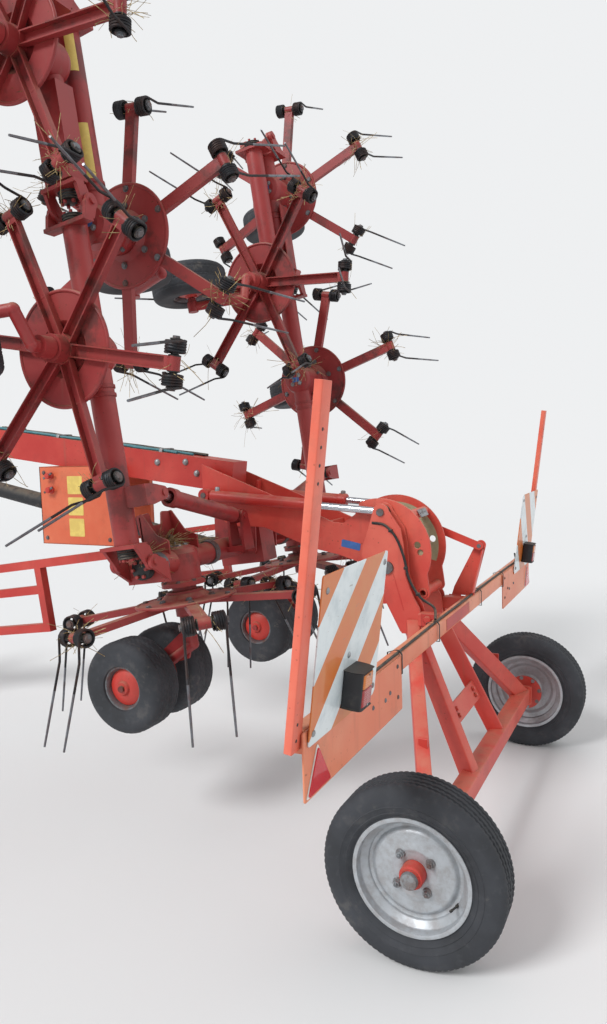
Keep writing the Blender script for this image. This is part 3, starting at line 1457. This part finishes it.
    def levers(self, piece: Piece, side: Side) -> None:
        """Two plates of a side with the pins, boss and web between them, and the stub axle.

        Args:
            piece: The piece that takes them.
            side: Which side.
        """
        half_gap, t, y = self.lever_gap / 2, self.lever_t, self.lever_y
        inner, outer = self.lever_faces
        half = LAYOUT.machine @ side.mirror
        for face in (outer, y - half_gap):
            piece.plate([self.lever_outline()], t, RED_CHASSIS, facing(side, face, t), 0.0015)
        embossed = [(0.318, 1.033), (0.2785, 0.893), (0.2745, 0.894), (0.3140, 1.034)]
        piece.plate([embossed], 0.001, RED_HUB, facing(side, outer + 0.0008, 0.001), 0.0002)
        piece.pin(*self.ram_pin, 0.030, outer - 0.001, outer + 0.009, DULL_STEEL, half)
        piece.pin(*self.ram_pin, 0.030, inner - 0.002, inner + 0.001, DULL_STEEL, half)
        piece.pin(*self.pivot, 0.070, inner + 0.001, outer - 0.001, RED_CHASSIS, half)
        piece.slab(rectangle(-0.005, -half_gap - 0.001, 0.005, half_gap + 0.001, 0.001), 0.140, RED_CHASSIS,
                   half @ shift(0.290, y, 0.806) @ turn(27, "Y"), 0.001)
        piece.pin(0, self.axle_z, self.stub_d, self.half_track - 0.115, self.half_track + 0.050, DULL_STEEL, half)

    def struts(self, piece: Piece, side: Side) -> None:
        """Two struts from a side's levers to the axle tube, their foot block, and the plates on the tube.

        Args:
            piece: The piece that takes them.
            side: Which side.
        """
        y, half = self.lever_y, LAYOUT.machine @ side.mirror
        piece.bar((0.246, y + 0.012, 0.832), (0.004, self.half_track - 0.140, self.axle_z + 0.008), (0.074, 0.050),
                  RED_CHASSIS, half)
        piece.bar((0.272, y - 0.004, 0.880), (0.006, self.strut_y, self.axle_z + 0.012), (0.066, 0.046), RED_CHASSIS,
                  half)
        piece.box((0.128, y + 0.004, 0.838), (0.212, y + 0.050, 0.889), RED_CHASSIS, half, 0.004)
        piece.box((0.146, y + 0.050, 0.842), (0.198, y + 0.056, 0.892), RED, half, 0.002)
        piece.lathe(PIN_CAP, RED_HUB, half @ shift(0.172, y + 0.056, 0.867) @ Z_TO_Y, 20)
        piece.box((0.066, 0.550, 0.472), (0.098, 0.559, 0.545), RED_CHASSIS, half, 0.002)
        piece.plate([rectangle(-0.045, 0.235, 0.045, 0.33, 0.012)], 0.010, RED_CHASSIS, facing(side, 0.788, 0.010))

    def axle_tube(self, piece: Piece) -> None:
        """Pivot pin, axle tube, and the slanted cross plate with its bolts."""
        place = LAYOUT.machine
        end = self.lever_faces[1] + 0.010
        piece.pin(*self.pivot, self.pivot_d, -end, end, DULL_STEEL, place)
        piece.bar((0, -0.787, self.axle_z), (0, 0.787, self.axle_z), (self.axle, self.axle), RED_CHASSIS, place)
        piece.slab(rectangle(-0.004, -self.cross_y, 0.004, self.cross_y, 0.002), 0.080, RED_CHASSIS,
                   place @ shift(0.066, 0, 0.456) @ turn(24.5, "Y"), 0.001)
        for side in Side:
            for z in (0.482, 0.507):
                piece.hexagon(0.015, 0.007, RED_CHASSIS,
                              place @ side.mirror @ shift(0.058 + (z - 0.456) * 0.45, 0.13, z) @ turn(-65.5, "Y"))

    def lever_hose(self, piece: Piece) -> None:
        """Hose along the left side's outer lever, under three clips."""
        place = LAYOUT.machine
        outer = self.lever_faces[1]
        face = outer + 0.006
        hose = [(0.110, 0.300, 0.897), (0.150, face + 0.004, 0.915), (0.205, face, 0.950), (0.250, face, 1.020),
                (0.268, face, 1.100), (0.300, face, 1.180), (0.345, face, 1.228), (0.400, face - 0.006, 1.236)]
        piece.tube(smooth_path(hose, 6), 0.0052, HOSE_BLACK, place, 10)
        for x, z in ((0.215, 0.962), (0.262, 1.062), (0.322, 1.207)):
            piece.box((x - 0.007, outer - 0.001, z - 0.006), (x + 0.007, face + 0.0062, z + 0.006), GREASY, place,
                      0.0015)

    def tie(self, piece: Piece) -> None:
        """Folded bracket, pin and flat link on the right side."""
        y = -self.lever_y - 0.066
        link_y = -self.lever_y - self.lever_gap / 2 - self.lever_t - 0.0005
        bracket = [(0.092, 0.888), (0.190, 0.888), (0.178, 0.925), *arc(0.062, 1.107, 0.021, 35, 190, 10),
                   (0.086, 0.930)]
        piece.plate([bracket], 0.007, RED_CHASSIS, upright(y), 0.001)
        piece.plate([[(-0.018, 0.0), (0.018, 0.0), (0.012, 0.190), (-0.012, 0.190)]], 0.006, RED_CHASSIS,
                    LAYOUT.machine @ shift(0.090, y + 0.016, 0.905) @ turn(-13, "Y") @ ACROSS, 0.001)
        piece.pin(0.062, 1.107, 0.018, y - 0.012, link_y + 0.002, DULL_STEEL, LAYOUT.machine)
        link = [*arc(0.062, 1.107, 0.016, 112, 292, 10), *arc(0.290, 1.197, 0.016, 292, 472, 10)]
        piece.plate([link], 0.007, RED_CHASSIS, upright(link_y), 0.001)

    def ram_frame(self, y: float) -> Matrix:
        """Frame of a cylinder, with X from its base pin to its eye."""
        (bx, bz), (px, pz) = self.ram_base, self.ram_pin
        angle = math.degrees(math.atan2(pz - bz, bx - px))
        return LAYOUT.machine @ shift(bx, y, bz) @ turn(180 + angle, "Y")

    def rams(self) -> None:
        """Barrels with gland and ports, and chromed rods with their eyes."""
        barrels, rods = Piece("chassis_cylinder_tubes"), Piece("chassis_cylinder_rods_chromed")
        reach = (Vector(self.ram_base) - Vector(self.ram_pin)).length
        r, length = self.barrel_d / 2, self.barrel_len
        for side in Side:
            place = self.ram_frame(side.value * self.lever_y)
            along = place @ Z_TO_X
            barrels.lathe([(r - 0.012, 0.020), (r, 0.034), (r, length - 0.040), (r + 0.004, length - 0.036),
                           (r + 0.004, length - 0.004), (r, length), (self.rod_d / 2 + 0.0008, length)], RED, along,
                          32)
            barrels.lathe([(0.0265, -0.0215), (0.028, -0.020), (0.028, 0.020), (0.0265, 0.0215)], RED,
                          place @ Z_TO_MINUS_Y, 28)
            for x in (0.060, length - 0.020):
                barrels.lathe([(0.011, r - 0.004), (0.011, r + 0.012), (0.008, r + 0.016)], ZINC,
                              place @ shift(x) @ Z_DOWN, 14)
            rods.lathe([(self.rod_d / 2, length - 0.30), (self.rod_d / 2, reach - 0.018)], CHROME, along, 28)
            rods.lathe([(0.0235, -0.0185), (0.025, -0.017), (0.025, 0.017), (0.0235, 0.0185)], GREASY,
                       place @ shift(reach) @ Z_TO_MINUS_Y, 28)
            rods.lathe([(self.ram_pin_d / 2, -0.0195), (self.ram_pin_d / 2, 0.0195)], DULL_STEEL,
                       place @ shift(reach) @ Z_TO_MINUS_Y, 20)
        barrels.finish("chassis_barrels", replaces=["chassis_cylinder_barrels"])
        rods.finish("chassis_rods", replaces=["chassis_cylinder_rods"])

    def build(self) -> None:
        """Makes the rear frame."""
        self.cheeks()
        self.swing()
        self.rams()


@dataclass
class LiftRods:
    """Rods of the wings' lift cylinders, long enough to stay in their barrels."""

    base: tuple[float, float, float] = (-0.096, 0.200, 0.280)
    rise: float = 14.64
    reach: float = 0.544
    rod_d: float = 0.032
    start: float = 0.080
    piston_d: float = 0.0494
    piston_t: float = 0.040
    eye_d: float = 0.050
    pin_d: float = 0.025

    def build(self) -> None:
        """Makes both rods, each with its piston, eye and pin."""
        r, eye, pin = self.rod_d / 2, self.eye_d / 2, self.pin_d / 2
        for side in Side:
            piece = Piece(f"{side.word}_lift_rod_chromed")
            place = LAYOUT.plane @ side.mirror @ shift(*self.base) @ turn(self.rise, "X") @ turn(90, "Z")
            along = place @ Z_TO_X
            piece.lathe([(r, self.start), (r, self.reach - eye + 0.003)], CHROME, along, 28)
            piece.lathe([(r, self.start), (self.piston_d / 2, self.start),
                         (self.piston_d / 2, self.start + self.piston_t), (r, self.start + self.piston_t)],
                        DULL_STEEL, along, 28)
            across = place @ shift(self.reach) @ Z_TO_MINUS_Y
            piece.lathe([(eye - 0.0015, -0.022), (eye, -0.0205), (eye, 0.0205), (eye - 0.0015, 0.022)], GREASY,
                        across, 28)
            piece.lathe([(pin, -0.0245), (pin, 0.0245)], DULL_STEEL, across, 20)
            piece.finish(f"{side.word}_lift_rod", replaces=[f"{side.word}_lift_rod"])


@dataclass
class WingDetails:
    """Bolts, coupling boots, blank labels and the channel of the wings and the centre section."""

    housing_r: float = 0.087
    flange_z: float = 0.066
    tube_z: float = 0.150
    tube_r: float = 0.045
    reach: float = 0.060
    boot_r: float = 0.041

    def housing_bolts(self, piece: Piece, place: Matrix) -> None:
        """Ring of bolts and a grease nipple on a rotor housing."""
        for i in range(8):
            piece.hexagon(0.015, 0.007, DULL_STEEL,
                          place @ turn(22 + 45 * i, "Z") @ shift(self.housing_r - 0.0065, 0, self.flange_z))
        for i in range(4):
            piece.hexagon(0.017, 0.008, ZINC, place @ turn(45 + 90 * i, "Z") @ shift(0.030, 0, 0.205))
        piece.lathe(NIPPLE, ZINC, place @ shift(0.012, 0.0, 0.205), 10)

    def boot(self, piece: Piece, place: Matrix, y: float, ahead: int) -> None:
        """Greasy rubber boot over one half of a finger coupling.

        Args:
            piece: The piece that takes the boot.
            place: The section's frame.
            y: Where the end plate stands.
            ahead: 1 if the boot points outwards along the wing, -1 if inwards.
        """
        r = self.boot_r
        ribs = [(r - 0.003 * (i % 2), 0.004 + 0.005 * i) for i in range(7)]
        piece.lathe([(r - 0.004, 0.0), *ribs, (r - 0.006, 0.037)], GREASY,
                    place @ shift(0, y, self.tube_z) @ turn(-90 * ahead, "X"), 28)

    def collar(self, piece: Piece, place: Matrix, y: float, thick: float, width: float, finish: Finish) -> None:
        """Band round a section's tube.

        Args:
            piece: The piece that takes the band.
            place: The section's frame.
            y: Where the band starts.
            thick: How far it stands off the tube.
            width: How wide it is along the tube.
            finish: Its finish.
        """
        inner, outer = self.tube_r + 0.0005, self.tube_r + thick
        band = [(inner, 0.0), (outer, 0.0), (outer, width), (inner, width)]
        piece.lathe(band, finish, place @ shift(0, y, self.tube_z) @ Z_TO_Y, 36, closed=True)

    def centre(self) -> None:
        """Boots, bolts, rest bracket and clamps of the centre section."""
        piece = Piece("centre_section_fixings")
        for side in Side:
            place = LAYOUT.section(0, side)
            self.housing_bolts(piece, place @ shift(0, LAYOUT.rotor_y(0), 0))
            self.boot(piece, place, LAYOUT.lift_y - self.reach, 1)
            for y in (0.425, 0.615):
                wall = eased([(-0.030, 0.150), (0.085, 0.150), (0.104, 0.345), (0.075, 0.352), (0.020, 0.262),
                              (-0.034, 0.236)], 0.008)
                piece.plate([wall], 0.008, RED_WING, place @ shift(0, y + 0.004, 0) @ Z_TO_MINUS_Y)
            back = eased([(0.421, 0.170), (0.619, 0.170), (0.619, 0.348), (0.560, 0.352), (0.548, 0.300),
                          (0.492, 0.300), (0.480, 0.352), (0.421, 0.348)], 0.010)
            piece.plate([back], 0.008, RED_WING, place @ shift(0.082, 0, 0) @ ACROSS)
            for y in (0.45, 0.59):
                piece.hexagon(0.018, 0.009, DULL_STEEL, place @ shift(0.082, y, 0.24) @ Z_TO_MINUS_X)
            for y in (0.30, 0.655):
                self.collar(piece, place, y, 0.006, 0.030, DULL_STEEL)
        piece.finish("frame")

    def section(self, side: Side, section: int, word: str, start: float, end: float) -> None:
        """Fixings of one wing section.

        Args:
            side: The side of the machine.
            section: 1 inner, 2 middle, 3 tip.
            word: The section as body names spell it.
            start: Y of its first end plate.
            end: Y of its last end plate, or 0 where it has none.
        """
        piece = Piece(f"{side.word}_{word}_section_fixings")
        place = LAYOUT.section(section, side)
        self.housing_bolts(piece, place @ shift(0, LAYOUT.rotor_y(section), 0))
        self.boot(piece, place, start, -1)
        if end:
            self.boot(piece, place, end, 1)
        if section == 2:
            w, t = 0.060, 0.006
            channel = [(-w, 0.100), (w, 0.100), (w, 0.188), (w - t, 0.188), (w - t, 0.100 + t), (t - w, 0.100 + t),
                       (t - w, 0.188), (-w, 0.188)]
            piece.plate([channel], 0.34, RED_WING, place @ shift(0, 2.505, 0) @ Z_TO_MINUS_Y, 0.001)
        if section == 3 and side is Side.LEFT:
            for low, high in ((2.935, 3.085), (3.275, 3.480)):
                label = arc(0, 0, self.tube_r + 0.0008, 112, 158, 8) + arc(0, 0, self.tube_r - 0.0004, 158, 112, 8)
                piece.slab(label, high - low, YELLOW_PLATE, place @ shift(0, high, self.tube_z) @ Z_TO_MINUS_Y, 0.0)
        for y in (LAYOUT.rotor_y(section) - 0.13, LAYOUT.rotor_y(section) - 0.16):
            self.collar(piece, place, y, 0.005, 0.012, RED_ROTOR)
        spot = rectangle(-0.020, -0.013, 0.020, 0.013, 0.004)
        piece.plate([spot], 0.0012, BLUE_SPOT, place @ shift(0, LAYOUT.rotor_y(section), 0.2052), 0.0003)
        piece.finish(f"{side.word}_wing_{word}")

    def build(self) -> None:
        """Makes the fixings of all sections."""
        self.centre()
        float_y, tip_y = LAYOUT.rotor_y(1) + LAYOUT.pitch / 2, LAYOUT.rotor_y(2) + LAYOUT.tip_out
        rows = ((1, "inner", LAYOUT.lift_y + self.reach, float_y - self.reach),
                (2, "middle", float_y + self.reach, tip_y - self.reach), (3, "tip", tip_y + self.reach, 0.0))
        for side in Side:
            for section, word, start, end in rows:
                self.section(side, section, word, start, end)


@dataclass
class BeamDetails:
    """Panel edges, blank plates, latches, hoses and bolts of the beam and its side boxes."""

    panel_x: Flat = (1.720, 2.180)
    panel_z: Flat = (1.095, 1.480)
    panel_y: float = 0.154
    beam_low: Flat = (1.110, 1.413)
    beam_high: Flat = (2.650, 1.620)
    beam_half: float = 0.070
    hose_end: float = 2.60
    hose_r: float = 0.0062
    hose_lift: float = 0.0068
    hose_steps: int = 16

    def top(self, x: float) -> float:
        """Height of the beam's upper face."""
        (x0, z0), (x1, z1) = self.beam_low, self.beam_high
        slope = (z1 - z0) / (x1 - x0)
        return z0 + (x - x0) * slope + self.beam_half * math.sqrt(1 + slope * slope)

    def panels(self, piece: Piece) -> None:
        """Folded rims on both panels, with latches and plates on the left one."""
        (x0, x1), (z0, z1) = self.panel_x, self.panel_z
        for side in Side:
            place = LAYOUT.machine @ side.mirror
            y = self.panel_y
            for low, high in (((x0, y - 0.026, z0), (x0 + 0.004, y, z1)), ((x1 - 0.004, y - 0.026, z0), (x1, y, z1)),
                              ((x0, y - 0.026, z0), (x1, y, z0 + 0.004)), ((x0, y - 0.026, z1 - 0.004), (x1, y, z1))):
                piece.box(low, high, ORANGE_COVER, place, 0.001)
            for x, z in ((x0 + 0.03, z0 + 0.03), (x1 - 0.03, z0 + 0.03), (x0 + 0.03, z1 - 0.03),
                         (x1 - 0.03, z1 - 0.03)):
                piece.lathe(PANEL_BOLT, DULL_STEEL, place @ shift(x, y, z) @ Z_TO_Y, 16)
        place = LAYOUT.machine
        for i in range(3):
            z = z1 - 0.048 - 0.104 * i
            piece.plate([rectangle(1.905, z - 0.088, 2.000, z, 0.006)], 0.0012, YELLOW_PLATE,
                        upright(self.panel_y + 0.0011), 0.0003)
        for z in (z1 - 0.045, z1 - 0.115):
            at = place @ shift(2.105, self.panel_y, z) @ Z_TO_Y
            piece.lathe(LATCH, RED_HUB, at, 20)
            piece.box((-0.030, -0.005, 0.018), (0.030, 0.005, 0.026), DULL_STEEL, at @ turn(25, "Z"), 0.001)

    def hoses(self, piece: Piece) -> None:
        """Hoses clipped along the beam's top, a black pair beside them."""
        place = LAYOUT.machine
        for y, finish, start in ((0.022, HOSE_TEAL, 1.34), (0.036, HOSE_TEAL, 1.42), (-0.018, HOSE_BLACK, 1.30),
                                 (-0.034, HOSE_BLACK, 1.30)):
            path = []
            for i in range(self.hose_steps + 1):
                x = start + (self.hose_end - start) * i / self.hose_steps
                sway, rise = 0.004 * math.sin(2.1 * i + 40 * y), 0.0012 * math.sin(1.7 * i)
                path.append((x, y + sway, self.top(x) + self.hose_lift + rise))
            piece.tube(smooth_path(path, 3), self.hose_r, finish, place, 10)
        for x in (1.50, 1.82, 2.14, 2.46):
            z = self.top(x)
            strap = [(-0.050, 0.0), (0.050, 0.0), (0.050, 0.004), (0.046, 0.016), (-0.046, 0.016), (-0.050, 0.004)]
            piece.slab(strap, 0.018, ZINC, place @ shift(x, 0, z) @ turn(-7.6, "Y") @ ACROSS, 0.001)
        for x, dz in ((1.36, -0.03), (1.30, -0.075), (1.52, -0.05)):
            for side in Side:
                piece.lathe(BEAM_BOLT, ZINC,
                            place @ side.mirror @ shift(x, 0.060, self.top(x) + dz) @ Z_TO_Y, 18)

    def build(self) -> None:
        """Makes the beam's details."""
        piece = Piece("beam_and_panel_details")
        self.panels(piece)
        self.hoses(piece)
        piece.finish("frame")


@dataclass
class Stems:
    """Dry hay caught on the centre section and on the spring coils."""

    seed: int = 11
    thick: float = 0.0011
    nests: tuple[tuple[Point, Point], ...] = (((0.060, 0.53, 0.215), (0.026, 0.070, 0.016)),
                                              ((0.062, 0.36, 0.195), (0.022, 0.050, 0.013)),
                                              ((0.040, 0.69, 0.198), (0.030, 0.028, 0.013)))

    def clump(self, piece: Piece, place: Matrix, middle: Sequence[float], size: Sequence[float], count: int,
              rng: random.Random, droop: float = 0.02) -> None:
        """Scatters bent stems round a point.

        Args:
            piece: The piece that takes the stems.
            place: The frame of the point.
            middle: Middle of the clump.
            size: Half of its reach along X, Y and Z.
            count: How many stems.
            rng: Seeded source of numbers.
            droop: How far the free ends hang.
        """
        for _ in range(count):
            start = Vector([m + r * rng.gauss(0, 0.45) for m, r in zip(middle, size)])
            way = Vector((rng.gauss(0, 1), rng.gauss(0, 1), rng.gauss(0, 0.6))).normalized()
            length = rng.uniform(0.03, 0.11)
            bend = Vector((rng.gauss(0, 0.3), rng.gauss(0, 0.3), -droop * 12 * rng.random()))
            path = [start + way * (length * t) + bend * (length * t * t) for t in (0.0, 0.35, 0.7, 1.0)]
            piece.tube(path, self.thick * rng.uniform(0.6, 1.3), STRAW, place, 3)

    def build(self) -> None:
        """Makes the hay of the centre section and of every rotor."""
        rng = random.Random(self.seed)
        nest = Piece("hay_on_centre_section")
        for side, count in ((Side.LEFT, 420), (Side.RIGHT, 160)):
            place = LAYOUT.section(0, side)
            for share, (middle, size) in enumerate(self.nests, 1):
                self.clump(nest, place, middle, size, count // share, rng)
        nest.finish("frame")
        for side in Side:
            for where in Place:
                rotor = Rotor(side, where)
                piece = Piece(f"{rotor.name}_caught_stems")
                arms = rng.sample(range(rotor.arms), 3)
                for index, place in enumerate(rotor.arm_places()):
                    count = 46 if index in arms else 9
                    self.clump(piece, place, (rotor.coil_r - 0.004, 0.0, rotor.eye_z), (0.036, 0.040, 0.034), count,
                               rng, 0.01)
                piece.finish(f"{rotor.name}_rotor")


def dress_node(node: str, finish: Finish) -> None:
    """Gives a solid of the model its finish.

    Args:
        node: The node.
        finish: Its finish.
    """
    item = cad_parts[node]
    item.data.materials.clear()
    item.data.materials.append(finish.material())
    LOG.info("%s: %s", node, finish.name)


@dataclass
class Machine:
    """The solids that keep their shape, with their finishes."""

    finishes: dict[str, Finish] = field(default_factory=lambda: {"main_beam": RED, "centre_frame": RED_WING,
                                                                 "centre_gearbox": RED_WING,
                                                                 "drive_line": GUARD_BLACK, "safety_rails": RED,
                                                                 "drawbar_box": ORANGE_COVER,
                                                                 "centre_wheel_legs": RED_ROTOR, "jack_sleeve": RED,
                                                                 "hitch_yoke": RED, "jack_leg": DULL_STEEL,
                                                                 **{f"{s.word}_wing_{p}": RED_WING for s in Side
                                                                    for p in ("inner", "middle", "tip")},
                                                                 **{f"{s.word}_lift_barrel": RED_WING for s in Side}})

    def build(self) -> None:
        """Dresses the nodes."""
        for node, finish in self.finishes.items():
            dress_node(node, finish)


@dataclass
class Studio:
    """Pale floor, soft lights and the photograph's camera."""

    focal: float = 761.35
    frame_px: float = 1024.0
    spot: tuple[float, float, float] = (-0.69965, 2.97122, 1.56257)
    yaw: float = 26.61
    pitch: float = 5.25
    roll: float = -1.778
    floor_r: float = 60.0

    def camera(self) -> None:
        """Camera at the photograph's place and angle."""
        yaw, pitch, roll = (math.radians(a) for a in (self.yaw, self.pitch, self.roll))
        ahead, up = Vector((math.sin(yaw), -math.cos(yaw), 0)), Vector((0, 0, 1))
        right = ahead.cross(up)
        look = ahead * math.cos(pitch) - up * math.sin(pitch)
        top = right.cross(look)
        rows = (right * math.cos(roll) + top * math.sin(roll), top * math.cos(roll) - right * math.sin(roll), -look)
        place = Matrix(rows).transposed().to_4x4()
        place.translation = Vector(self.spot) + Vector((ROW_X, 0, 0))
        data = bpy.data.cameras.new("camera")
        data.sensor_fit, data.sensor_width, data.lens = "AUTO", 36.0, 36.0 * self.focal / self.frame_px
        data.clip_start, data.clip_end = 0.05, 300.0
        item = bpy.data.objects.new("camera", data)
        item.matrix_world = place
        bpy.context.scene.collection.objects.link(item)
        bpy.context.scene.camera = item

    def floor(self) -> None:
        """Round pale floor that melts into the background."""
        count = 96
        mesh = bpy.data.meshes.new("floor")
        mesh.from_pydata(turned_row([self.floor_r] * count, 0.0), [], [tuple(range(count))])
        item = bpy.data.objects.new("floor", mesh)
        bpy.context.scene.collection.objects.link(item)
        tree = Tree("floor_paint")
        where = tree.place()
        reach = tree.node("ShaderNodeVectorMath", {"operation": "LENGTH"}, {0: where}, "Value")
        blend = reach.step(7.0, 22.0)
        glow = tree.node("ShaderNodeEmission", {}, {"Color": SKY, "Strength": 1.0})
        tree.surface(Base_Color=(0.74, 0.745, 0.75), Roughness=0.9)
        mixed = tree.node("ShaderNodeMixShader", {}, {0: blend, 1: Signal(tree, tree.shader.outputs[0]), 2: glow})
        tree.links.new(mixed.socket, tree.nodes["Material Output"].inputs[0])
        mesh.materials.append(tree.material)

    def lights(self) -> None:
        """Soft sky and one large soft sun."""
        scene = bpy.context.scene
        world = bpy.data.worlds.new("studio")
        scene.world = world
        world.use_nodes = True
        nodes, links = world.node_tree.nodes, world.node_tree.links
        back = nodes["Background"]
        seen = nodes.new("ShaderNodeBackground")
        for node, strength in ((back, 0.72), (seen, 1.0)):
            node.inputs["Color"].default_value = (*SKY, 1.0)
            node.inputs["Strength"].default_value = strength
        path, mix = nodes.new("ShaderNodeLightPath"), nodes.new("ShaderNodeMixShader")
        links.new(path.outputs["Is Camera Ray"], mix.inputs[0])
        links.new(back.outputs[0], mix.inputs[1])
        links.new(seen.outputs[0], mix.inputs[2])
        links.new(mix.outputs[0], nodes["World Output"].inputs[0])
        for name, energy, angle, turned in (("sun", 2.1, 18.0, (48, 8, 150)), ("fill", 0.5, 60.0, (60, 0, -60))):
            data = bpy.data.lights.new(name, "SUN")
            data.energy, data.angle = energy, math.radians(angle)
            item = bpy.data.objects.new(name, data)
            item.rotation_euler = tuple(math.radians(a) for a in turned)
            scene.collection.objects.link(item)
        scene.view_settings.view_transform = "Standard"

    def build(self) -> None:
        """Sets the scene."""
        self.camera()
        self.floor()
        self.lights()


def main() -> None:
    """Builds every sub-assembly in order and reports it."""
    logging.basicConfig(level=logging.INFO, format="%(message)s")
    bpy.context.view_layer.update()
    Studio().build()
    Machine().build()
    RearBoards().build()
    RearFrame().build()
    LiftRods().build()
    WingDetails().build()
    BeamDetails().build()
    Stems().build()
    for side in Side:
        RoadWheel(side).build()
        for where in Place:
            Rotor(side, where).build()
            SupportWheel(side, where).build()


if __name__ == "__main__":
    main()
